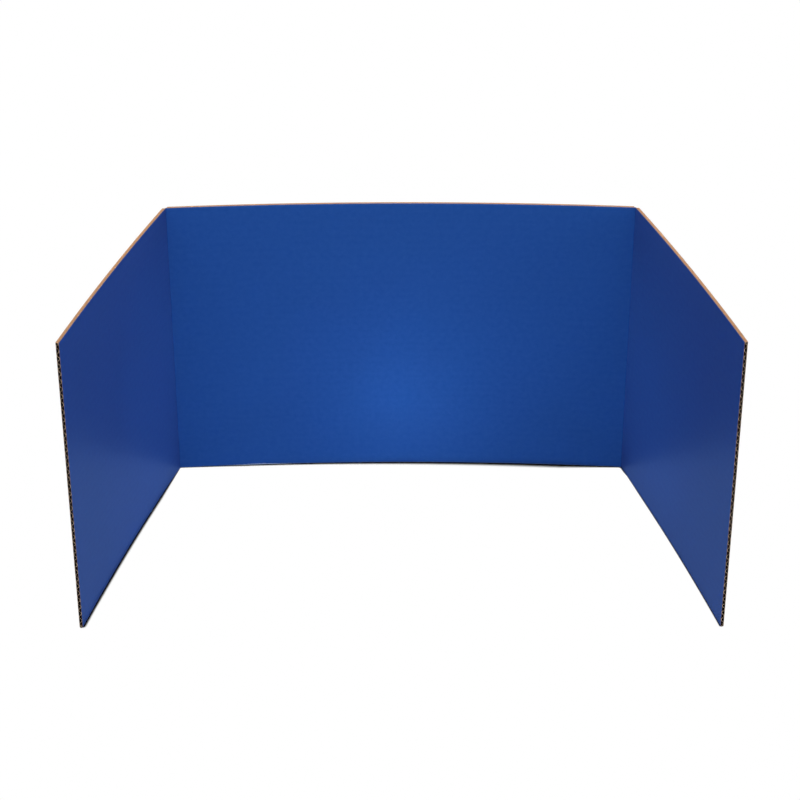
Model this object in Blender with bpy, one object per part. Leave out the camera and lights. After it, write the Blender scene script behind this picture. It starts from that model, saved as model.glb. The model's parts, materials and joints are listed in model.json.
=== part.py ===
"""Folding study carrel: a tabletop privacy screen of single-wall corrugated board.

A back panel and two side wings are parted by two vertical scored creases, which are the hinges.
Every panel is a sandwich of three papers: an inner liner printed blue, a fluted medium whose flutes
run level, and an outer liner of plain kraft. At a crease the sandwich is crushed flat towards the
inner face, so the board folds about a line there.

Units are metres, +Z is up, the study space opens towards -Y, and the origin is on the floor, below
the middle of the outline.
"""

import math

import bmesh
import bpy
import numpy as np

# Panels, measured between the fold axes and the cut edges
BACK_WIDTH = 0.510  # from fold axis to fold axis
WING_LENGTH = 0.334  # from fold axis to front edge, along the chord
HEIGHT = 0.325
WING_SPLAY = math.radians(12.2)  # each wing stands open this far past square
BACK_BOW = 0.0123  # the back bulges outwards by this much at its middle
WING_BOW = 0.0028  # and a wing by this much

# Board
BOARD_CALIPER = 0.0036  # over both liners
LINER_CALIPER = 0.00025
MEDIUM_CALIPER = 0.0002
GLUE_GAP = 0.0002  # between a flute's crest and the liner it is glued to
FLUTE_PITCH = 0.00833  # one whole wave
FLUTE_FLAT = 0.3  # share of a wave that lies flat against one liner

# Creases
FOLD_CLEARANCE = 0.00025  # the inner face stands this far behind the fold axis
CREASE_HALF_WIDTH = 0.001  # crushed flat on each side of the axis
CREASE_RAMP = 0.0028  # length over which the board swells back to its caliper
CUT_GAP = 0.0003  # between a crease strip and the panel's own papers

# Facets
BACK_SPANS = 8
WING_SPANS = 4
FOLD_SPANS = 6

# Finishes, as linear colour and roughness
BLUE_PRINT = ((0.017, 0.063, 0.291), 0.45)
BROWN_MEDIUM = ((0.36, 0.21, 0.11), 0.9)
KRAFT = ((0.46, 0.28, 0.15), 0.85)

# Distances outwards from the fold axis line to each paper's near face
INNER_FACE = FOLD_CLEARANCE
MEDIUM_FACE = INNER_FACE + LINER_CALIPER + GLUE_GAP
OUTER_FACE = MEDIUM_FACE + MEDIUM_CALIPER + GLUE_GAP
CREST_RISE = BOARD_CALIPER - 2 * (LINER_CALIPER + GLUE_GAP) - MEDIUM_CALIPER
LAYERS = (
    ("inner_liner", LINER_CALIPER, INNER_FACE),
    ("fluting", MEDIUM_CALIPER, MEDIUM_FACE),
    ("outer_liner", LINER_CALIPER, OUTER_FACE),
)


def clear_scene():
    for thing in list(bpy.data.objects):
        bpy.data.objects.remove(thing, do_unlink=True)


def paper(name, colour, roughness):
    """A material for one kind of paper."""
    material = bpy.data.materials.new(name)
    material.use_nodes = True
    shader = material.node_tree.nodes["Principled BSDF"]
    shader.inputs["Base Color"].default_value = (*colour, 1.0)
    shader.inputs["Roughness"].default_value = roughness
    shader.inputs["Metallic"].default_value = 0.0
    return material


def empty(name, parent=None, location=(0.0, 0.0, 0.0), turn=0.0):
    """A frame to hang pieces on, turned about the vertical."""
    frame = bpy.data.objects.new(name, None)
    bpy.context.collection.objects.link(frame)
    frame.parent = parent
    frame.location = location
    frame.rotation_euler.z = turn
    return frame


def plan(along, outwards, chord, bow):
    """Plan points of a bowed panel.

    The panel's line is a parabola from the fold axis at 0 to the chord's far end, bulging by `bow`.
    A point lies `along` the chord and then `outwards` square to that line.
    """
    share = along / chord
    rise = 4 * bow * share * (1 - share)
    slope = 4 * bow / chord * (1 - 2 * share)
    length = np.sqrt(1 + slope**2)
    return np.stack([along - outwards * slope / length, rise + outwards / length], axis=-1)


def end_tilt(chord, bow):
    """Angle between a bowed panel's line and its chord, at the fold axis."""
    return math.atan2(4 * bow, chord)


def turned(points, angle):
    """Plan points turned about the fold axis."""
    cosine, sine = math.cos(angle), math.sin(angle)
    return points @ np.array([[cosine, sine], [-sine, cosine]])


def sheet(name, points, thickness, material, parent, flip):
    """A sheet of paper: a grid bent to `points`, its near face, and thickened outwards.

    `points` has one row per station along the sheet and one column per height. The grid's own normals
    point outwards unless `flip` is set, which turns them round.
    """
    spans, rises = points.shape[0] - 1, points.shape[1] - 1
    grid = bmesh.new()
    bmesh.ops.create_grid(grid, x_segments=spans, y_segments=rises, size=0.5)
    for corner in grid.verts:
        station = round((corner.co.x + 0.5) * spans)
        level = round((corner.co.y + 0.5) * rises)
        corner.co = points[station, level]
    if flip:
        bmesh.ops.reverse_faces(grid, faces=grid.faces)
    mesh = bpy.data.meshes.new(name)
    grid.to_mesh(mesh)
    grid.free()
    mesh.materials.append(material)
    piece = bpy.data.objects.new(name, mesh)
    bpy.context.collection.objects.link(piece)
    piece.parent = parent
    caliper = piece.modifiers.new("caliper", "SOLIDIFY")
    caliper.thickness = thickness
    caliper.offset = 1.0
    caliper.use_even_offset = True
    caliper.use_quality_normals = True
    return piece


def flute_levels():
    """Heights of the wave's corners, from the bottom cut to the top cut."""
    corners = (FLUTE_FLAT / 2, 0.5 - FLUTE_FLAT / 2, 0.5 + FLUTE_FLAT / 2, 1 - FLUTE_FLAT / 2)
    waves = np.arange(math.ceil(HEIGHT / FLUTE_PITCH))
    levels = ((waves[:, None] + np.array(corners)) * FLUTE_PITCH).ravel()
    inside = levels[levels < HEIGHT - MEDIUM_CALIPER]
    return np.concatenate([[0.0], inside, [HEIGHT]])


def flute_wave(level):
    """How far across the board the medium is at a height: 0 at the inner liner, 1 at the outer."""
    phase = (level / FLUTE_PITCH) % 1.0
    from_crest = np.minimum(phase, 1 - phase)
    return np.clip((0.5 - FLUTE_FLAT / 2 - from_crest) / (0.5 - FLUTE_FLAT), 0.0, 1.0)


def stations(chord, spans, far_crease):
    """Places along a panel, and how far the board has swollen at each: 0 crushed, 1 full.

    Every panel starts at a crease, and the back panel ends at one too.
    """
    edge = CREASE_HALF_WIDTH + CUT_GAP
    swollen = CREASE_HALF_WIDTH + CREASE_RAMP
    body = np.linspace(swollen, chord - swollen if far_crease else chord, spans + 1)
    far_edge = [chord - edge] if far_crease else []
    along = np.concatenate([[edge], body, far_edge])
    swell = np.concatenate([[0.0], np.ones(len(body)), np.zeros(len(far_edge))])
    return along, swell


def panel(name, chord, bow, spans, far_crease, side, parent, papers):
    """The three papers of one panel, in a frame with x along its chord and y outwards times `side`."""
    along, swell = stations(chord, spans, far_crease)
    cuts = np.array([0.0, HEIGHT])
    levels = flute_levels()
    rises = {
        "inner_liner": (cuts, np.zeros(2)),
        "fluting": (levels, flute_wave(levels)),
        "outer_liner": (cuts, np.ones(2)),
    }
    for layer, thickness, face in LAYERS:
        heights, wave = rises[layer]
        outwards = face + CREST_RISE * np.outer(swell, wave)
        flat = plan(along[:, None], outwards, chord, bow)
        points = np.empty((*outwards.shape, 3))
        points[..., 0] = flat[..., 0]
        points[..., 1] = flat[..., 1] * side
        points[..., 2] = heights
        sheet(f"{name}_{layer}", points, thickness, papers[layer], parent, side > 0)


def crease(name, mirror, parent, papers):
    """The three crushed papers of one crease, bent round the fold axis from the back to a wing.

    They are worked out for the left crease, with the axis at the origin, and mirrored for the right.
    """
    back_normal = math.pi / 2 + end_tilt(BACK_WIDTH, BACK_BOW)
    wing_normal = math.pi - WING_SPLAY - end_tilt(WING_LENGTH, WING_BOW)
    wing_turn = -math.pi / 2 - WING_SPLAY
    bend = np.linspace(back_normal, wing_normal, FOLD_SPANS + 1)
    reach = np.array([CREASE_HALF_WIDTH])
    for layer, thickness, outwards in LAYERS:
        on_back = plan(reach, np.array([outwards]), BACK_WIDTH, BACK_BOW)
        on_wing = plan(reach, np.array([outwards]), WING_LENGTH, WING_BOW) * (1, -1)
        round_axis = outwards * np.stack([np.cos(bend), np.sin(bend)], axis=-1)
        path = np.concatenate([on_back, round_axis, turned(on_wing, wing_turn)])
        path[:, 0] *= mirror
        points = np.empty((len(path), 2, 3))
        points[:, :, :2] = path[:, None]
        points[:, :, 2] = (0.0, HEIGHT)
        sheet(f"{name}_{layer}", points, thickness, papers[layer], parent, mirror < 0)


def depth_middle():
    """Where the middle of the outline lies behind the line between the fold axes."""
    rear = BACK_BOW + FOLD_CLEARANCE + BOARD_CALIPER
    faces = np.array([INNER_FACE, INNER_FACE + BOARD_CALIPER])
    front = turned(plan(0 * faces + WING_LENGTH, faces, WING_LENGTH, WING_BOW), WING_SPLAY - math.pi / 2)
    return (rear + front[:, 1].min()) / 2


def build():
    clear_scene()
    papers = {
        "inner_liner": paper("blue_printed_liner", *BLUE_PRINT),
        "fluting": paper("fluted_medium", *BROWN_MEDIUM),
        "outer_liner": paper("kraft_liner", *KRAFT),
    }
    carrel = empty("carrel", location=(0.0, -depth_middle(), 0.0))
    back = empty("back_frame", carrel, (-BACK_WIDTH / 2, 0.0, 0.0))
    panel("back", BACK_WIDTH, BACK_BOW, BACK_SPANS, True, 1, back, papers)
    for name, side in (("left", -1), ("right", 1)):
        axis = (side * BACK_WIDTH / 2, 0.0, 0.0)
        crease(f"{name}_crease", -side, empty(f"{name}_crease_frame", carrel, axis), papers)
        fold = empty(f"{name}_fold_axis", carrel, axis, side * WING_SPLAY - math.pi / 2)
        panel(f"{name}_wing", WING_LENGTH, WING_BOW, WING_SPANS, False, side, fold, papers)


build()
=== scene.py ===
# %% [markdown]
# # A folding study carrel
#
# The carrel is a tabletop screen cut from one blank of single-wall corrugated board: a back panel and
# two wings, parted by two scored creases. Its inner face is printed blue, and its outer face is plain
# kraft paper. A box modelled with a blue and a brown side would look right from a distance, but not
# where the board was cut, because there the eye sees three papers and the tunnels between them. So each
# paper is made here as a sheet of its own, as on the real board.

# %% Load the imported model
import json
import math

import bpy
import numpy as np
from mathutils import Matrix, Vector


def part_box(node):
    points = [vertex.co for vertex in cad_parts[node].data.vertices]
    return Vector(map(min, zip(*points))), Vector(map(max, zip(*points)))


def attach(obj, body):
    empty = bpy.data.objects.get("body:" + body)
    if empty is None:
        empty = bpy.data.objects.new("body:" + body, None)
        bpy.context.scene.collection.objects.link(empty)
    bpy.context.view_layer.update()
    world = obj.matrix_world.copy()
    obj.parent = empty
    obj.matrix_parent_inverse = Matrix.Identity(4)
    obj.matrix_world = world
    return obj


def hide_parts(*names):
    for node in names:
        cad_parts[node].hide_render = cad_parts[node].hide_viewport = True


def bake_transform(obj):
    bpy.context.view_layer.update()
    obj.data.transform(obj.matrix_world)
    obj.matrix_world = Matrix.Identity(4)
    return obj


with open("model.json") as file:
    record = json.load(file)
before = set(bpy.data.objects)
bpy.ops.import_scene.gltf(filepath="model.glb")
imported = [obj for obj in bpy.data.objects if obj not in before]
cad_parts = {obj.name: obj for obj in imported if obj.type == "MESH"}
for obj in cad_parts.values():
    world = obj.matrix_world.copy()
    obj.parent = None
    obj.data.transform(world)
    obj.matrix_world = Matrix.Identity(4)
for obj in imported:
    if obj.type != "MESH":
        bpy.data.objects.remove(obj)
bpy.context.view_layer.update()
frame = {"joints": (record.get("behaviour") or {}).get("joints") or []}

# %% [markdown]
# ## Sizes
#
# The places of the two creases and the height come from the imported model, so they can't drift from it.
# The rest repeats the sizes that the model was drawn with. Everything is in metres. The board is C-flute,
# about 3.6 mm thick, with a wave every 8.3 mm.

# %% Panels and board
AXES = {joint["name"]: np.array(joint["pos_m"][:2]) for joint in frame["joints"]}
LEFT_AXIS = AXES["left_fold"]
RIGHT_AXIS = AXES["right_fold"]
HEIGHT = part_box("back_inner_liner")[1].z
BACK_WIDTH = float(RIGHT_AXIS[0] - LEFT_AXIS[0])
WING_LENGTH = 0.334
WING_SPLAY = math.radians(12.2)
BACK_BOW = 0.0123
WING_BOW = 0.0028

BOARD_CALIPER = 0.0036
LINER_CALIPER = 0.00025
MEDIUM_CALIPER = 0.0002
GLUE_LINE = 0.00003
CRUSHED_CALIPER = 2 * (LINER_CALIPER + GLUE_LINE) + MEDIUM_CALIPER
FOLD_CLEARANCE = 0.00025
FLUTE_PITCH = 0.00833
print(f"back {BACK_WIDTH:.3f} m wide, {HEIGHT:.3f} m high, {HEIGHT / FLUTE_PITCH:.1f} flutes in its height")

# %% [markdown]
# ## Where a panel stands
#
# The board isn't quite flat: the back bulges away from the sitter, and the wings a little too. Bending a
# flat mesh with a modifier would do, but a formula is exact and gives the creases the same line. A panel
# is a parabola over its chord. Every point is found from three numbers: how far along the chord, how far
# outwards through the board, and how high.

# %% Points of a panel
PANELS = {
    "back": {
        "axis": LEFT_AXIS,
        "turn": 0.0,
        "side": 1,
        "chord": BACK_WIDTH,
        "bow": BACK_BOW,
    },
    "left_wing": {
        "axis": LEFT_AXIS,
        "turn": -math.pi / 2 - WING_SPLAY,
        "side": -1,
        "chord": WING_LENGTH,
        "bow": WING_BOW,
    },
    "right_wing": {
        "axis": RIGHT_AXIS,
        "turn": WING_SPLAY - math.pi / 2,
        "side": 1,
        "chord": WING_LENGTH,
        "bow": WING_BOW,
    },
}


def stand(name, along, outwards, height):
    """Points of a panel.

    The panel's line rises 4 * bow * share * (1 - share) from its chord, where share is along / chord. A
    point lies outwards square to that line, and is then turned about the fold axis into place.
    """
    panel = PANELS[name]
    share = along / panel["chord"]
    rise = 4 * panel["bow"] * share * (1 - share)
    slope = 4 * panel["bow"] / panel["chord"] * (1 - 2 * share)
    length = np.sqrt(1 + slope**2)
    x = along - outwards * slope / length
    y = (rise + outwards / length) * panel["side"]
    cosine = math.cos(panel["turn"])
    sine = math.sin(panel["turn"])
    turned_x = panel["axis"][0] + x * cosine - y * sine
    turned_y = panel["axis"][1] + x * sine + y * cosine
    return np.stack(np.broadcast_arrays(turned_x, turned_y, height), axis=-1)


front_corner = stand("right_wing", WING_LENGTH, FOLD_CLEARANCE, HEIGHT)
print("front top corner of the right wing, in metres:", np.round(front_corner, 4))

# %% [markdown]
# ## How the board swells
#
# At a crease a scoring wheel has crushed the board flat towards its inner face, and beside the crease it
# swells back to its caliper within a millimetre. At a cut the blade squeezes both faces together a
# little, and along a level cut it folds the last flute over, so that cut shows as a closed brown band.
# Between the crests of the medium each liner sinks by a hundredth of a millimetre or two, which is called
# washboarding. All of this is worked out as smooth functions over a panel, so no edge has to be modelled
# by hand.

# %% Swelling, squeezing and flutes
SEAM = 0.0007
SWOLLEN = 0.0017
CUT_SQUEEZE = 0.00012
SQUEEZE_REACH = 0.0016
WASHBOARD = 0.000015
FOLD_OVER = 0.0005
STEEPNESS = 1.6
# Each drift of the flutes is its depth in waves, its length in metres and where it starts
FLUTE_DRIFTS = ((0.03, 0.097, 0.0), (0.02, 0.031, 1.0))


def swell(name, along):
    """0 where a crease crushes the board, 1 at its full caliper: a smoothstep of the distance from it."""
    distance = along
    if name == "back":
        distance = np.minimum(along, BACK_WIDTH - along)
    share = np.clip((distance - SEAM) / (SWOLLEN - SEAM), 0.0, 1.0)
    return share**2 * (3 - 2 * share)


def squeeze(name, along, height):
    """How far a cut pushes each face inwards: it falls off as exp(-distance / reach) from every cut."""
    near_cuts = np.exp(-height / SQUEEZE_REACH) + np.exp((height - HEIGHT) / SQUEEZE_REACH)
    if name != "back":
        near_cuts = near_cuts + np.exp((along - WING_LENGTH) / SQUEEZE_REACH)
    return CUT_SQUEEZE * np.minimum(near_cuts, 1.0) * swell(name, along)


def flute_turn(height):
    """The wave's angle at a height: a full turn per pitch, with a slow drift as real flutes have.

    Along a level cut the blade folds the last flute over: the wave makes an extra half turn there, which
    fades as exp(-distance / FOLD_OVER).
    """
    waves = height / FLUTE_PITCH
    for depth, length, start in FLUTE_DRIFTS:
        waves = waves + depth * np.sin(2 * math.pi * height / length + start)
    folded = np.exp(-height / FOLD_OVER) + np.exp((height - HEIGHT) / FOLD_OVER)
    return 2 * math.pi * waves + math.pi * folded


def flute_wave(height):
    """Where the medium is across the board: 0 at the inner liner, 1 at the outer.

    It is a cosine bent by tanh(STEEPNESS * cosine) / tanh(STEEPNESS), which flattens the crests and
    steepens the flanks.
    """
    bent = np.tanh(STEEPNESS * np.cos(flute_turn(height))) / math.tanh(STEEPNESS)
    return (1 - bent) / 2


def faces(name, along, height):
    """How far outwards the inner and the outer face of the board are, before washboarding."""
    caliper = CRUSHED_CALIPER + (BOARD_CALIPER - CRUSHED_CALIPER) * swell(name, along)
    pressed = squeeze(name, along, height)
    return FOLD_CLEARANCE + pressed, FOLD_CLEARANCE + caliper - pressed


inner, outer = faces("back", BACK_WIDTH / 2, HEIGHT / 2)
print(f"the board is {(outer - inner) * 1000:.2f} mm thick, and {CRUSHED_CALIPER * 1000:.2f} mm at a crease")

# %% [markdown]
# ## A sheet of paper as a mesh
#
# Paper is thin, but a single surface has no cut edge and no inside, and a Solidify modifier would only
# give one thickness all over. So a sheet is two grids of points, its near face and its far face, joined by
# a rim along the four cuts. The quads are worked out from whole arrays of indices. Each sheet also gets a
# UV map that isn't squeezed into a square: it holds the place on the flat blank in metres, so print
# and fibres run on across a crease.

# %% Closed sheets
NEAR, FAR, LEVEL_CUT, UPRIGHT_CUT = 0, 1, 2, 3
SHARP_RIM = math.radians(40)


def strip(first, second):
    """Quads between two rows of vertex indices."""
    return np.stack([first[:-1], first[1:], second[1:], second[:-1]], axis=-1)


def paper_sheet(name, near, far, blank, finishes):
    """A closed sheet from two grids of points, with materials for its near and far face and its cuts.

    A quad joins a point to the next one along and the next one up. The far grid's quads keep that order
    and the near grid's are turned round, so they face apart, and all of them are turned round where the
    grids run the other way. `blank` holds each point's place on the flat blank.
    """
    rows, columns = near.shape[:2]
    here = np.arange(rows * columns).reshape(rows, columns)
    there = here + rows * columns
    near_quads = np.stack([here[:-1, :-1], here[:-1, 1:], here[1:, 1:], here[1:, :-1]], axis=-1)
    far_quads = np.stack([there[:-1, :-1], there[1:, :-1], there[1:, 1:], there[:-1, 1:]], axis=-1)
    level_quads = np.concatenate([strip(here[:, 0], there[:, 0]), strip(there[:, -1], here[:, -1])])
    upright_quads = np.concatenate([strip(there[0], here[0]), strip(here[-1], there[-1])])
    groups = [near_quads.reshape(-1, 4), far_quads.reshape(-1, 4), level_quads, upright_quads]
    quads = np.concatenate(groups)
    finish_of = np.repeat([NEAR, FAR, LEVEL_CUT, UPRIGHT_CUT], [len(group) for group in groups])
    across = np.cross(near[1, 0] - near[0, 0], near[0, 1] - near[0, 0])
    if np.dot(across, far[0, 0] - near[0, 0]) < 0:
        quads = quads[:, ::-1]
    points = np.concatenate([near.reshape(-1, 3), far.reshape(-1, 3)])
    corners = quads.ravel()

    mesh = bpy.data.meshes.new(name)
    mesh.vertices.add(len(points))
    mesh.vertices.foreach_set("co", points.ravel())
    mesh.loops.add(len(corners))
    mesh.loops.foreach_set("vertex_index", corners)
    mesh.polygons.add(len(quads))
    mesh.polygons.foreach_set("loop_start", np.arange(0, len(corners), 4))
    mesh.polygons.foreach_set("material_index", finish_of)
    mesh.update(calc_edges=True)
    on_blank = np.concatenate([blank.reshape(-1, 2), blank.reshape(-1, 2)])[corners]
    mesh.uv_layers.new(name="blank").uv.foreach_set("vector", on_blank.ravel())
    mesh.shade_smooth()
    mesh.set_sharp_from_angle(angle=SHARP_RIM)
    for finish in finishes:
        mesh.materials.append(finish)
    piece = bpy.data.objects.new(name, mesh)
    bpy.context.scene.collection.objects.link(piece)
    return piece


print("edges that turn by more than", round(math.degrees(SHARP_RIM)), "degrees stay sharp")

# %% [markdown]
# ## Finishes
#
# Colours are written as sRGB hex values, as a colour picker shows them, and Blender's shaders want linear
# light, so one function turns one into the other. Another adds a node to a material, with its settings
# and what feeds it. All patterns read the place on the blank, scaled to millimetres, so a size in a node
# is a size on the paper.

# %% Helpers for materials
MM = 1000.0
# A Mix node has a socket of the same name for each kind of value, so its colour sockets go by number
MIX_FACTOR, MIX_A, MIX_B, MIX_COLOUR = 0, 6, 7, 2


def linear(hex_colour):
    """An sRGB hex colour as linear light: v / 12.92 up to 0.04045, above it ((v + 0.055) / 1.055) ** 2.4."""
    values = np.array([int(hex_colour[start : start + 2], 16) / 255 for start in (1, 3, 5)])
    light = np.where(values <= 0.04045, values / 12.92, ((values + 0.055) / 1.055) ** 2.4)
    return (*light.tolist(), 1.0)


def add_node(tree, kind, inputs, **settings):
    """A node with its settings, and for each input a value or the output that feeds it."""
    made = tree.nodes.new(kind)
    for setting, value in settings.items():
        setattr(made, setting, value)
    for socket, value in inputs.items():
        if isinstance(value, bpy.types.NodeSocket):
            tree.links.new(value, made.inputs[socket])
        else:
            made.inputs[socket].default_value = value
    return made


def new_paper(name):
    """An empty paper material, with its node tree and its shader."""
    material = bpy.data.materials.new(name)
    material.use_nodes = True
    return material, material.node_tree, material.node_tree.nodes["Principled BSDF"]


print("a mid grey, #808080, is", round(linear("#808080")[0], 3), "in linear light")

# %% [markdown]
# ## Blue print
#
# The inner liner is flexo printed: a rubber plate lays a flat coat of water-based ink on the paper. The
# ink lies unevenly, as fine mottle, and a little thinner between the crests of the flutes, where the
# plate presses less. It has a soft sheen, so a wing seen at a low angle picks up the white table. That
# sheen is bluish in the photo, because light comes back through the ink, so it is a share of the shader's
# tinted, metallic kind of reflection and not the clear kind. That kind still turns white at a low angle,
# so its edge colour is a pale blue. Brown fibres stand up through the ink and catch light at a low angle,
# so the wings look a little warmer than the back, which is what the shader's sheen layer is for. Along the
# cuts the ink is worn, along a score it is pressed darker, and the bottom of the back is scuffed for a few
# centimetres. A scan of print would be the quick way, but noise at the real sizes stays sharp from close
# by.
# The darker ink along a score also paints the shade of the score's dent.

# %% The printed inner liner
INK = "#1B448D"
THIN_INK = "#27519B"
MOTTLE_MM = 6.0
FLUTE_STRIPE = 0.03

blue_print, tree, shader = new_paper("flexo_printed_liner")
place = add_node(tree, "ShaderNodeTexCoord", {})
in_mm = add_node(tree, "ShaderNodeVectorMath", {0: place.outputs["UV"], "Scale": MM}, operation="SCALE")
blank_mm = add_node(tree, "ShaderNodeSeparateXYZ", {0: in_mm.outputs[0]})
mottle = add_node(
    tree,
    "ShaderNodeTexNoise",
    {"Vector": in_mm.outputs[0], "Scale": 1 / MOTTLE_MM, "Detail": 4.0, "Roughness": 0.6},
)
flute_angle = add_node(
    tree,
    "ShaderNodeMath",
    {0: blank_mm.outputs["Y"], 1: 2 * math.pi / (FLUTE_PITCH * MM)},
    operation="MULTIPLY",
)
between_crests = add_node(tree, "ShaderNodeMath", {0: flute_angle.outputs[0]}, operation="COSINE")
thinness = add_node(
    tree,
    "ShaderNodeMath",
    {0: between_crests.outputs[0], 1: FLUTE_STRIPE, 2: mottle.outputs[0]},
    operation="MULTIPLY_ADD",
)
ink = add_node(
    tree,
    "ShaderNodeMix",
    {MIX_FACTOR: thinness.outputs[0], MIX_A: linear(INK), MIX_B: linear(THIN_INK)},
    data_type="RGBA",
)
print("ink in linear light:", np.round(linear(INK)[:3], 3), "mottled every", MOTTLE_MM, "mm")

# %% Wear along the cuts of the print
WORN_INK = "#5E77A6"
WEAR = 0.6
WEAR_MM = 2.4
FIBRE_MM = 1.2
FIBRE_STRETCH = 0.35
HALF_BLANK_MM = (BACK_WIDTH / 2 + WING_LENGTH) * MM

below_top = add_node(
    tree, "ShaderNodeMath", {0: HEIGHT * MM, 1: blank_mm.outputs["Y"]}, operation="SUBTRACT"
)
sideways = add_node(tree, "ShaderNodeMath", {0: blank_mm.outputs["X"]}, operation="ABSOLUTE")
from_front = add_node(
    tree, "ShaderNodeMath", {0: HALF_BLANK_MM, 1: sideways.outputs[0]}, operation="SUBTRACT"
)
from_level_cut = add_node(
    tree, "ShaderNodeMath", {0: below_top.outputs[0], 1: blank_mm.outputs["Y"]}, operation="MINIMUM"
)
from_cut = add_node(
    tree, "ShaderNodeMath", {0: from_level_cut.outputs[0], 1: from_front.outputs[0]}, operation="MINIMUM"
)
fibres_mm = add_node(
    tree, "ShaderNodeMapping", {"Vector": in_mm.outputs[0], "Scale": (1.0, FIBRE_STRETCH, 1.0)}
)
fibres = add_node(
    tree,
    "ShaderNodeTexNoise",
    {"Vector": fibres_mm.outputs[0], "Scale": 1 / FIBRE_MM, "Detail": 2.0},
)
frayed = add_node(
    tree, "ShaderNodeMath", {0: from_cut.outputs[0], 1: fibres.outputs[0]}, operation="DIVIDE"
)
wear = add_node(
    tree,
    "ShaderNodeMapRange",
    {"Value": frayed.outputs[0], "From Max": WEAR_MM, "To Min": WEAR, "To Max": 0.0},
)
worn_ink = add_node(
    tree,
    "ShaderNodeMix",
    {MIX_FACTOR: wear.outputs[0], MIX_A: ink.outputs[MIX_COLOUR], MIX_B: linear(WORN_INK)},
    data_type="RGBA",
)
print(f"the blank is {2 * HALF_BLANK_MM:.0f} mm long between its worn front cuts")

# %% The scores, and a scuff at the bottom of the back
SCORED_AND_SHADED_INK = "#183973"
SCORE_MM = 1.4
SCORE_SHADE = 0.12
SCUFFED_INK = "#B4C6E4"
# Where the scuff's middle is from the blank's middle, half its length, and its height there and at its ends
SCUFF_MM = (-163.0, 46.0, 3.4, 0.01)

# Darker along each score: pressed ink, and painted shade of the score's dent
from_score = add_node(
    tree, "ShaderNodeMath", {0: sideways.outputs[0], 1: BACK_WIDTH / 2 * MM}, operation="SUBTRACT"
)
beside_score = add_node(tree, "ShaderNodeMath", {0: from_score.outputs[0]}, operation="ABSOLUTE")
pressed = add_node(
    tree,
    "ShaderNodeMapRange",
    {"Value": beside_score.outputs[0], "From Max": SCORE_MM / 2, "To Min": SCORE_SHADE, "To Max": 0.0},
)
scored_and_shaded_ink = add_node(
    tree,
    "ShaderNodeMix",
    {MIX_FACTOR: pressed.outputs[0], MIX_A: worn_ink.outputs[MIX_COLOUR], MIX_B: linear(SCORED_AND_SHADED_INK)},
    data_type="RGBA",
)
scuff_middle, scuff_half, scuff_height, scuff_end = SCUFF_MM
from_middle = add_node(
    tree, "ShaderNodeMath", {0: blank_mm.outputs["X"], 1: scuff_middle}, operation="SUBTRACT"
)
off_middle = add_node(tree, "ShaderNodeMath", {0: from_middle.outputs[0]}, operation="ABSOLUTE")
scuff_reach = add_node(
    tree,
    "ShaderNodeMapRange",
    {
        "Value": off_middle.outputs[0],
        "From Max": scuff_half,
        "To Min": scuff_height,
        "To Max": scuff_end,
    },
)
ragged = add_node(
    tree, "ShaderNodeMath", {0: scuff_reach.outputs[0], 1: fibres.outputs[0]}, operation="MULTIPLY"
)
scuffed = add_node(
    tree,
    "ShaderNodeMapRange",
    {"Value": blank_mm.outputs["Y"], "From Max": ragged.outputs[0], "To Min": 1.0, "To Max": 0.0},
)
printed = add_node(
    tree,
    "ShaderNodeMix",
    {MIX_FACTOR: scuffed.outputs[0], MIX_A: scored_and_shaded_ink.outputs[MIX_COLOUR], MIX_B: linear(SCUFFED_INK)},
    data_type="RGBA",
)
print("scores", SCORE_MM, "mm wide, and a scuff", 2 * scuff_half, "mm long")

# %% Sheen and relief of the print
INK_ROUGHNESS = (0.3, 0.4)
INK_RELIEF = 0.000008
INK_SHEEN = 0.215
SHEEN_EDGE = "#E6F7FF"
FUZZ = 0.065
FUZZ_BROWN = "#FF7A3C"
FUZZ_ROUGHNESS = 0.3

sheen = add_node(
    tree,
    "ShaderNodeMapRange",
    {"Value": mottle.outputs[0], "To Min": INK_ROUGHNESS[0], "To Max": INK_ROUGHNESS[1]},
)
relief = add_node(tree, "ShaderNodeBump", {"Height": fibres.outputs[0], "Distance": INK_RELIEF})
shader.inputs["Specular IOR Level"].default_value = 0.0
shader.inputs["Metallic"].default_value = INK_SHEEN
shader.inputs["Specular Tint"].default_value = linear(SHEEN_EDGE)
shader.inputs["Sheen Weight"].default_value = FUZZ
shader.inputs["Sheen Roughness"].default_value = FUZZ_ROUGHNESS
shader.inputs["Sheen Tint"].default_value = linear(FUZZ_BROWN)
tree.links.new(printed.outputs[MIX_COLOUR], shader.inputs["Base Color"])
tree.links.new(sheen.outputs[0], shader.inputs["Roughness"])
tree.links.new(relief.outputs[0], shader.inputs["Normal"])
print("blue print:", len(tree.nodes), "nodes")

# %% [markdown]
# ## Kraft papers
#
# The outer liner is unbleached kraft: long brown fibres that lie mostly along the web, which ran square to
# the flutes, with cloudy patches and a few dark flecks of bark. The medium is a rougher paper of shorter
# fibres. Where the blade cut across its flutes at the front, its fibres are torn open and pale. The photo
# shows the front cuts of the liners much darker than the level ones, so they get a brown of their own, and
# the tunnels between the flutes almost black, so the medium is drawn darker inside than shade alone makes
# it. They are all one kind of material, so one function makes the five of them from their own colours and
# sizes.
# The liners' front cuts are drawn dark brown, which is painted shade.

# %% The brown papers
FLECK_MM = 1.6
FLECK = "#6E5238"
FLECK_EDGE = 0.08
FLECK_STRENGTH = 0.7
# Two noises are added, and most of their sum lies between these
TONES = (0.7, 1.3)
KRAFT_ROUGHNESS = 0.9
KRAFT_GLOSS = 0.25
TUNNEL_SHADE = 0.03
LIT_DEPTH = 0.002


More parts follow.
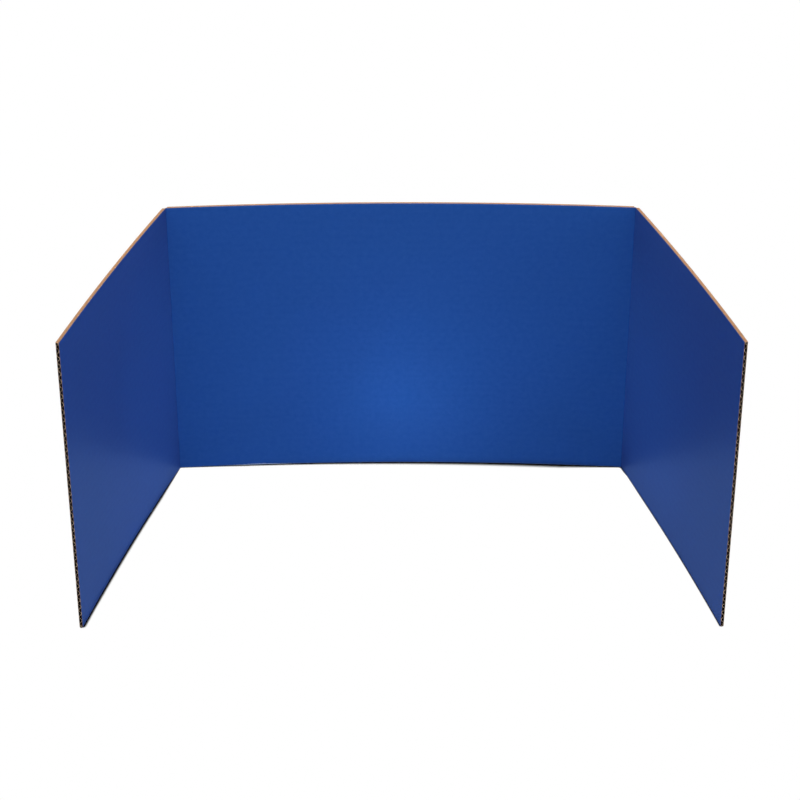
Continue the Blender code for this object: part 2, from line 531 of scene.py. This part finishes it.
def kraft_paper(name, dark, pale, coordinates, fibre_mm, cloud_mm, flecks, relief_height):
    """Brown paper: fibres and clouds mix a dark and a pale brown, and flecks lie over them.

    `fibre_mm` is a fibre tuft's width and length, and `flecks` is the noise level above which bark shows.
    """
    material, tree, shader = new_paper(name)
    place = add_node(tree, "ShaderNodeTexCoord", {})
    in_mm = add_node(
        tree, "ShaderNodeVectorMath", {0: place.outputs[coordinates], "Scale": MM}, operation="SCALE"
    )
    width, length = fibre_mm
    along_web = add_node(
        tree,
        "ShaderNodeMapping",
        {"Vector": in_mm.outputs[0], "Scale": (1 / width, 1 / length, 1 / width)},
    )
    fibres = add_node(
        tree,
        "ShaderNodeTexNoise",
        {"Vector": along_web.outputs[0], "Scale": 1.0, "Detail": 5.0, "Roughness": 0.65},
    )
    clouds = add_node(
        tree,
        "ShaderNodeTexNoise",
        {"Vector": in_mm.outputs[0], "Scale": 1 / cloud_mm, "Detail": 3.0},
    )
    tone = add_node(
        tree, "ShaderNodeMath", {0: fibres.outputs[0], 1: clouds.outputs[0]}, operation="ADD"
    )
    spread = add_node(
        tree,
        "ShaderNodeMapRange",
        {"Value": tone.outputs[0], "From Min": TONES[0], "From Max": TONES[1]},
    )
    brown = add_node(
        tree,
        "ShaderNodeMix",
        {MIX_FACTOR: spread.outputs[0], MIX_A: linear(dark), MIX_B: linear(pale)},
        data_type="RGBA",
    )
    bark = add_node(
        tree,
        "ShaderNodeTexNoise",
        {"Vector": in_mm.outputs[0], "Scale": 1 / FLECK_MM, "Detail": 2.0},
    )
    fleck = add_node(
        tree,
        "ShaderNodeMapRange",
        {
            "Value": bark.outputs[0],
            "From Min": flecks,
            "From Max": flecks + FLECK_EDGE,
            "To Max": FLECK_STRENGTH,
        },
    )
    flecked = add_node(
        tree,
        "ShaderNodeMix",
        {MIX_FACTOR: fleck.outputs[0], MIX_A: brown.outputs[MIX_COLOUR], MIX_B: linear(FLECK)},
        data_type="RGBA",
    )
    relief = add_node(tree, "ShaderNodeBump", {"Height": fibres.outputs[0], "Distance": relief_height})
    shader.inputs["Roughness"].default_value = KRAFT_ROUGHNESS
    shader.inputs["Specular IOR Level"].default_value = KRAFT_GLOSS
    tree.links.new(flecked.outputs[MIX_COLOUR], shader.inputs["Base Color"])
    tree.links.new(relief.outputs[0], shader.inputs["Normal"])
    return material


def shade_tunnels(material):
    """Multiply a paper's colour down where it lies deeper than LIT_DEPTH below the top cut."""
    tree = material.node_tree
    shader = tree.nodes["Principled BSDF"]
    open_colour = shader.inputs["Base Color"].links[0].from_socket
    place = add_node(tree, "ShaderNodeTexCoord", {})
    blank = add_node(tree, "ShaderNodeSeparateXYZ", {0: place.outputs["UV"]})
    shade = add_node(
        tree,
        "ShaderNodeMapRange",
        {
            "Value": blank.outputs["Y"],
            "From Min": HEIGHT - LIT_DEPTH,
            "From Max": HEIGHT,
            "To Min": TUNNEL_SHADE,
            "To Max": 1.0,
        },
    )
    shaded = add_node(
        tree, "ShaderNodeVectorMath", {0: open_colour, "Scale": shade.outputs[0]}, operation="SCALE"
    )
    tree.links.new(shaded.outputs[0], shader.inputs["Base Color"])


# Coordinates, tuft width and length, cloud size, fleck level and relief of every cut
CUT_FIBRES = ("Object", (0.5, 0.5), 3.0, 0.76, 0.00008)
kraft = kraft_paper("unbleached_kraft_liner", "#AF875F", "#BC956C", "UV", (0.6, 5.0), 4.0, 0.70, 0.00002)
medium = kraft_paper("recycled_medium", "#AC7C58", "#BA8F6A", "UV", (1.0, 3.0), 6.0, 0.76, 0.00004)
cut_kraft = kraft_paper("cut_kraft_edge", "#AD815D", "#BF9A7D", *CUT_FIBRES)
# The liners' front cuts get a dark brown that is painted shade
front_cut_shaded_kraft = kraft_paper("front_cut_painted_shade", "#6A472F", "#7E5A40", *CUT_FIBRES)
torn_medium = kraft_paper("torn_medium_edge", "#F4CFA6", "#FFE6C9", *CUT_FIBRES)
shade_tunnels(medium)
browns = (kraft, medium, cut_kraft, front_cut_shaded_kraft, torn_medium)
print("brown papers:", [brown.name for brown in browns])

# %% [markdown]
# ## Liners and flutes
#
# Each panel has three sheets. The two liners follow the faces of the board. The medium swings between them
# in a wave, and it keeps its thickness square to the wave, not across the board, or the flanks of the
# flutes would be too thin. The grids are close where the shape turns, beside a crease and at a cut, and
# wide elsewhere.

# %% Stations along and up a panel
END_STEPS = np.array([0.15, 0.3, 0.45, 0.6, 0.75, 0.9, 1.05, 1.6, 2.4]) / MM
LINER_STEPS_PER_FLUTE = 8
MEDIUM_STEPS_PER_FLUTE = 16
BACK_SPANS = 36
WING_SPANS = 24
FLUTES = round(HEIGHT / FLUTE_PITCH)


def graded(start, stop, spans):
    """Even stations from start to stop, with closer ones beside both ends."""
    even = np.linspace(start, stop, spans + 1)
    return np.unique(np.concatenate([even, start + END_STEPS, stop - END_STEPS]))


def grid(name, steps_per_flute):
    """A panel's stations as a column and its heights as a row."""
    if name == "back":
        along = graded(SEAM, BACK_WIDTH - SEAM, BACK_SPANS)
    else:
        along = graded(SEAM, WING_LENGTH, WING_SPANS)
    return along[:, None], graded(0.0, HEIGHT, FLUTES * steps_per_flute)[None, :]


def on_blank(name, along, height):
    """Places on the flat blank, in metres from its middle and from its bottom cut."""
    start = {"back": -BACK_WIDTH / 2, "left_wing": -BACK_WIDTH / 2, "right_wing": BACK_WIDTH / 2}[name]
    step = -1 if name == "left_wing" else 1
    return np.stack(np.broadcast_arrays(start + step * along, height), axis=-1)


stations, levels = grid("back", LINER_STEPS_PER_FLUTE)
print("a liner of the back has", stations.size, "stations along it and", levels.size, "up it")

# %% The three sheets of a panel
def inner_liner(name):
    """The near face follows the board's inner face, and sinks where the medium is away from it."""
    along, height = grid(name, LINER_STEPS_PER_FLUTE)
    near = faces(name, along, height)[0] + WASHBOARD * swell(name, along) * flute_wave(height)
    points = stand(name, along, near, height), stand(name, along, near + LINER_CALIPER, height)
    return *points, on_blank(name, along, height)


def outer_liner(name):
    """The far face follows the board's outer face, and sinks where the medium is away from it."""
    along, height = grid(name, LINER_STEPS_PER_FLUTE)
    far = faces(name, along, height)[1] - WASHBOARD * swell(name, along) * (1 - flute_wave(height))
    points = stand(name, along, far - LINER_CALIPER, height), stand(name, along, far, height)
    return *points, on_blank(name, along, height)


def fluting(name):
    """The medium's middle is the flute wave between the liners, and its faces lie square to that wave.

    The wave's slope s tilts a face: it moves half a caliper / sqrt(1 + s * s) outwards, and s times that
    down.
    """
    along, height = grid(name, MEDIUM_STEPS_PER_FLUTE)
    inner, outer = faces(name, along, height)
    half = MEDIUM_CALIPER / 2
    margin = LINER_CALIPER + GLUE_LINE + half
    middle = inner + margin + (outer - inner - 2 * margin) * flute_wave(height)
    slope = np.gradient(middle, height[0], axis=1)
    across = half / np.sqrt(1 + slope**2)
    near_height = np.clip(height + slope * across, 0.0, HEIGHT)
    far_height = np.clip(height - slope * across, 0.0, HEIGHT)
    points = stand(name, along, middle - across, near_height), stand(name, along, middle + across, far_height)
    return *points, on_blank(name, along, height)


flute_line = fluting("back")[0][len(stations) // 2]
unrolled = np.linalg.norm(np.diff(flute_line, axis=0), axis=1).sum()
print(f"the medium is {unrolled / HEIGHT:.2f} times as long as the board is high")

# %% Make the panels
BODIES = {"back": "back_panel", "left_wing": "left_wing", "right_wing": "right_wing"}
SHEETS = {
    "inner_liner": (inner_liner, "blue_liner", (blue_print, medium, cut_kraft, front_cut_shaded_kraft)),
    "fluting": (fluting, "fluting", (medium, medium, cut_kraft, torn_medium)),
    "outer_liner": (outer_liner, "kraft_liner", (medium, kraft, cut_kraft, front_cut_shaded_kraft)),
}
for panel, body in BODIES.items():
    for layer, (shape, slot, finishes) in SHEETS.items():
        near, far, blank = shape(panel)
        piece = paper_sheet(f"{panel}_{layer}_paper", near, far, blank, finishes)
        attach(piece, body)
        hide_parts(f"{panel}_{layer}")
        print(piece.name, "has", len(piece.data.polygons), "quads")

# %% [markdown]
# ## Creases
#
# Between the panels the three papers go on, crushed together, round the fold axis. A hinge of separate
# plates would leave a gap there. On the real board the papers bend, so each strip runs in one piece from
# the back round the fold axis to the wing.

# %% Strips round a fold axis
REACH_POINTS = 4
REACH = np.linspace(SEAM, 0.0, REACH_POINTS)
BEND_SPANS = 12
STRIP_ROWS = 27
STRIP_HEIGHTS = np.linspace(0.0, HEIGHT, STRIP_ROWS)
# How far outwards the near and far face of each crushed paper lies
CRUSHED = {
    "inner_liner": (FOLD_CLEARANCE, FOLD_CLEARANCE + LINER_CALIPER),
    "fluting": (
        FOLD_CLEARANCE + LINER_CALIPER + GLUE_LINE,
        FOLD_CLEARANCE + LINER_CALIPER + GLUE_LINE + MEDIUM_CALIPER,
    ),
    "outer_liner": (
        FOLD_CLEARANCE + CRUSHED_CALIPER - LINER_CALIPER,
        FOLD_CLEARANCE + CRUSHED_CALIPER,
    ),
}


def crease_path(side, outwards):
    """Plan points of a strip: along the back to the axis, round it as an arc, and along the wing."""
    wing = f"{side}_wing"
    from_left = REACH if side == "left" else BACK_WIDTH - REACH
    on_back = stand("back", from_left, outwards, 0.0)[:, :2]
    on_wing = stand(wing, REACH[::-1], outwards, 0.0)[:, :2]
    axis = PANELS[wing]["axis"]
    first, last = on_back[-1] - axis, on_wing[0] - axis
    angles = np.linspace(math.atan2(first[1], first[0]), math.atan2(last[1], last[0]), BEND_SPANS + 1)[1:-1]
    bend = axis + outwards * np.stack([np.cos(angles), np.sin(angles)], axis=-1)
    return np.concatenate([on_back, bend, on_wing]), on_back[-1], on_wing[0]


def upright(path):
    """A plan path carried up from the bottom cut to the top cut."""
    heights = np.broadcast_to(STRIP_HEIGHTS[:, None], (len(path), len(STRIP_HEIGHTS), 1))
    return np.concatenate([np.repeat(path[:, None], len(STRIP_HEIGHTS), axis=1), heights], axis=-1)


print("a crease strip has", len(crease_path("left", FOLD_CLEARANCE)[0]), "points from the back to the wing")

# %% Make the creases
bend_steps = np.zeros(BEND_SPANS - 1)
from_axis = np.concatenate([-REACH, bend_steps, REACH[::-1]])
for side, way in (("left", -1), ("right", 1)):
    across = way * (BACK_WIDTH / 2 + from_axis)
    blank = np.stack(np.broadcast_arrays(across[:, None], STRIP_HEIGHTS[None, :]), axis=-1)
    for layer, (near_face, far_face) in CRUSHED.items():
        slot, finishes = SHEETS[layer][1:]
        near = upright(crease_path(side, near_face)[0])
        far = upright(crease_path(side, far_face)[0])
        piece = paper_sheet(f"{side}_crease_{layer}_paper", near, far, blank, finishes)
        start, end = crease_path(side, (near_face + far_face) / 2)[1:]
        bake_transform(piece)
        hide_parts(f"{side}_crease_{layer}")
        print(piece.name, "bends over", round(float(np.linalg.norm(end - start)) * MM, 2), "mm")

# %% [markdown]
# ## Floor
#
# The carrel stands on a plain white table. The camera should see it as white, yet bright lamps that wash
# the floor out would wash the carrel out too. So the floor shows white only to camera rays and to
# reflections, through the Light Path node, and is a plain matt white for the light that it bounces. Close
# to the board an Ambient Occlusion node darkens it, which is the contact shadow. In the photo that shadow
# is deepest along the right half of the back, and thin along the right wing and beside the creases, so how
# far it reaches follows the place on the table. It stops short of the table outside the front corners.

# %% A white table
FLOOR_HALF = 6.0
FLOOR_DROP = 0.0002
MATT_WHITE = "#E6E6E6"
# How far the contact shadow reaches at the left and at the right
WING_CONTACT = (0.0055, 0.002)
BACK_CONTACT = (0.005, 0.0145)
# From where to where along the back it grows
BACK_GROWTH = (-0.2, 0.18)
# How far in front of the creases the back's shadow has become the wings'
BACK_TO_WINGS = 0.02
CREASE_FADE = 0.07
CREASE_CONTACT = 0.2
HALF_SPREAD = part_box("right_wing_outer_liner")[1].x
CORNER_FADE = 0.002
# The shares of open sky at which the table is black and white
OPEN_SKY = (0.68, 0.88)
SKY_SAMPLES = 16


def shown_to_eye(tree):
    """1 for rays from the camera and for reflected or refracted rays, 0 for light that bounces."""
    rays = add_node(tree, "ShaderNodeLightPath", {})
    seen = add_node(
        tree,
        "ShaderNodeMath",
        {0: rays.outputs["Is Camera Ray"], 1: rays.outputs["Is Glossy Ray"]},
        operation="MAXIMUM",
    )
    return add_node(
        tree,
        "ShaderNodeMath",
        {0: seen.outputs[0], 1: rays.outputs["Is Transmission Ray"]},
        operation="MAXIMUM",
    )


table_top = bpy.data.materials.new("white_table_top")
table_top.use_nodes = True
tree = table_top.node_tree
tree.nodes.clear()
matt = add_node(tree, "ShaderNodeBsdfDiffuse", {"Color": linear(MATT_WHITE)})
on_table = add_node(tree, "ShaderNodeTexCoord", {})
table_place = add_node(tree, "ShaderNodeSeparateXYZ", {0: on_table.outputs["Object"]})
along_back = add_node(
    tree,
    "ShaderNodeMapRange",
    {
        "Value": table_place.outputs["X"],
        "From Min": BACK_GROWTH[0],
        "From Max": BACK_GROWTH[1],
        "To Min": BACK_CONTACT[0],
        "To Max": BACK_CONTACT[1],
    },
)
along_wings = add_node(
    tree,
    "ShaderNodeMapRange",
    {
        "Value": table_place.outputs["X"],
        "From Min": LEFT_AXIS[0],
        "From Max": RIGHT_AXIS[0],
        "To Min": WING_CONTACT[0],
        "To Max": WING_CONTACT[1],
    },
)
along_board = add_node(
    tree,
    "ShaderNodeMapRange",
    {
        "Value": table_place.outputs["Y"],
        "From Min": LEFT_AXIS[1] - BACK_TO_WINGS,
        "From Max": LEFT_AXIS[1],
        "To Min": along_wings.outputs[0],
        "To Max": along_back.outputs[0],
    },
)
either_side = add_node(tree, "ShaderNodeVectorMath", {0: on_table.outputs["Object"]}, operation="ABSOLUTE")
from_crease = add_node(
    tree, "ShaderNodeVectorMath", {0: either_side.outputs[0], 1: (*RIGHT_AXIS, 0.0)}, operation="DISTANCE"
)
fade = add_node(
    tree,
    "ShaderNodeMapRange",
    {"Value": from_crease.outputs["Value"], "From Max": CREASE_FADE, "To Min": CREASE_CONTACT, "To Max": 1.0},
)
spread = add_node(tree, "ShaderNodeSeparateXYZ", {0: either_side.outputs[0]})
within_corners = add_node(
    tree,
    "ShaderNodeMapRange",
    {
        "Value": spread.outputs["X"],
        "From Min": HALF_SPREAD - CORNER_FADE,
        "From Max": HALF_SPREAD,
        "To Min": 1.0,
        "To Max": 0.0,
    },
)
faded = add_node(
    tree, "ShaderNodeMath", {0: fade.outputs[0], 1: within_corners.outputs[0]}, operation="MULTIPLY"
)
reach = add_node(
    tree, "ShaderNodeMath", {0: along_board.outputs[0], 1: faded.outputs[0]}, operation="MULTIPLY"
)
open_sky = add_node(
    tree, "ShaderNodeAmbientOcclusion", {"Distance": reach.outputs[0]}, samples=SKY_SAMPLES
)
contact = add_node(
    tree,
    "ShaderNodeMapRange",
    {"Value": open_sky.outputs["AO"], "From Min": OPEN_SKY[0], "From Max": OPEN_SKY[1], "To Min": 0.0},
)
white = add_node(tree, "ShaderNodeEmission", {"Strength": contact.outputs[0]})
shade = add_node(
    tree,
    "ShaderNodeMixShader",
    {0: shown_to_eye(tree).outputs[0], 1: matt.outputs[0], 2: white.outputs[0]},
)
add_node(tree, "ShaderNodeOutputMaterial", {"Surface": shade.outputs[0]})

corners = FLOOR_HALF * np.array([(-1, -1, 0), (1, -1, 0), (1, 1, 0), (-1, 1, 0)])
floor_mesh = bpy.data.meshes.new("table_top")
floor_mesh.from_pydata((corners - (0, 0, FLOOR_DROP)).tolist(), [], [(0, 1, 2, 3)])
floor_mesh.materials.append(table_top)
floor = bpy.data.objects.new("table_top", floor_mesh)
bpy.context.scene.collection.objects.link(floor)
print("table top:", 2 * FLOOR_HALF, "m square,", FLOOR_DROP * MM, "mm below the board")

# %% [markdown]
# ## Light
#
# The photo shows the back nearly even, with a small glow low in its middle and soft shade beside the
# creases, and the wings even. Two softboxes in front on the right and one on the left do most of that: a
# wing keeps the lamps on its own side off the back beside its crease. They stand well back, so a wing's far
# end gets nearly as much light as its near end. A lamp with a grid and one with a snoot make the glow, and
# two more, high at the sides, shine over one wing at the other one's crease. The table under an overhead
# lamp lights the panels from below, and two weaker lamps behind show the outer faces.

# %% World and lamps
WHITE = (1.0, 1.0, 1.0, 1.0)
WORLD_LIGHT = 0.04
MIDDLE = (0.0, 0.0, 0.12)
LEFT_CREASE = (*(LEFT_AXIS + (-0.01, -0.03)), 0.16)
RIGHT_CREASE = (*(RIGHT_AXIS + (0.01, -0.03)), 0.16)
LAMPS = (
    # name, place, aim, edge in metres, power in watts, spread in degrees
    ("overhead_softbox", (0.0, -0.08, 2.32), MIDDLE, 1.2, 37.3, 180.0),
    ("right_softbox", (2.05, -2.82, 0.62), MIDDLE, 1.44, 20.5, 180.0),
    ("right_upper_softbox", (1.17, -1.84, 1.98), MIDDLE, 0.8, 14.2, 180.0),
    ("left_softbox", (-1.1, -2.6, 1.1), MIDDLE, 0.8, 17.6, 180.0),
    ("middle_grid", (0.0, -1.8, 0.43), MIDDLE, 0.1, 0.022, 10.0),
    ("middle_snoot", (0.0, -1.8, 0.43), MIDDLE, 0.1, 0.025, 5.0),
    ("left_crease_grid", (2.4, -0.6, 1.5), LEFT_CREASE, 0.15, 0.062, 9.0),
    ("right_crease_grid", (-2.4, -0.6, 1.5), RIGHT_CREASE, 0.15, 0.07, 9.0),
    ("right_rear_softbox", (1.1, 1.7, 0.9), MIDDLE, 1.2, 16.0, 180.0),
    ("left_rear_softbox", (-1.1, 1.7, 0.9), MIDDLE, 1.2, 12.0, 180.0),
)

world = bpy.data.worlds.new("studio")
world.use_nodes = True
bpy.context.scene.world = world
tree = world.node_tree
tree.nodes.clear()
fill = add_node(tree, "ShaderNodeBackground", {"Color": WHITE, "Strength": WORLD_LIGHT})
backdrop = add_node(tree, "ShaderNodeBackground", {"Color": WHITE, "Strength": 1.0})
sky = add_node(
    tree,
    "ShaderNodeMixShader",
    {0: shown_to_eye(tree).outputs[0], 1: fill.outputs[0], 2: backdrop.outputs[0]},
)
add_node(tree, "ShaderNodeOutputWorld", {"Surface": sky.outputs[0]})

for name, place, aim, edge, power, spread in LAMPS:
    light = bpy.data.lights.new(name, "AREA")
    light.size = edge
    light.energy = power
    light.spread = math.radians(spread)
    lamp = bpy.data.objects.new(name, light)
    lamp.location = place
    lamp.rotation_euler = (Vector(aim) - Vector(place)).to_track_quat("-Z", "Y").to_euler()
    bpy.context.scene.collection.objects.link(lamp)
    print(name, "has", power, "W")

# %% [markdown]
# ## Camera
#
# The camera's place was worked out from the photo's own corners: the tops and bottoms of the creases and
# of the front edges, which lie on known planes. It stands about 2.3 m away and looks down by 28 degrees
# through a long lens, so the wings hardly spread.

# %% Camera at the photo's angle
CAMERA_PLACE = (-0.00725, -1.97466, 1.22751)
CAMERA_PITCH = math.radians(28.139)
CAMERA_YAW = math.radians(0.1736)
LENS_MM = 95.465
SENSOR_MM = 36.0

camera_data = bpy.data.cameras.new("camera")
camera_data.sensor_width = SENSOR_MM
camera_data.lens = LENS_MM
camera = bpy.data.objects.new("camera", camera_data)
camera.location = CAMERA_PLACE
camera.rotation_euler = (math.pi / 2 - CAMERA_PITCH, 0.0, -CAMERA_YAW)
bpy.context.scene.collection.objects.link(camera)
bpy.context.scene.camera = camera
bpy.context.scene.view_settings.view_transform = "Standard"
print("the camera stands", round(Vector(CAMERA_PLACE).length, 2), "m from the middle of the carrel's floor")
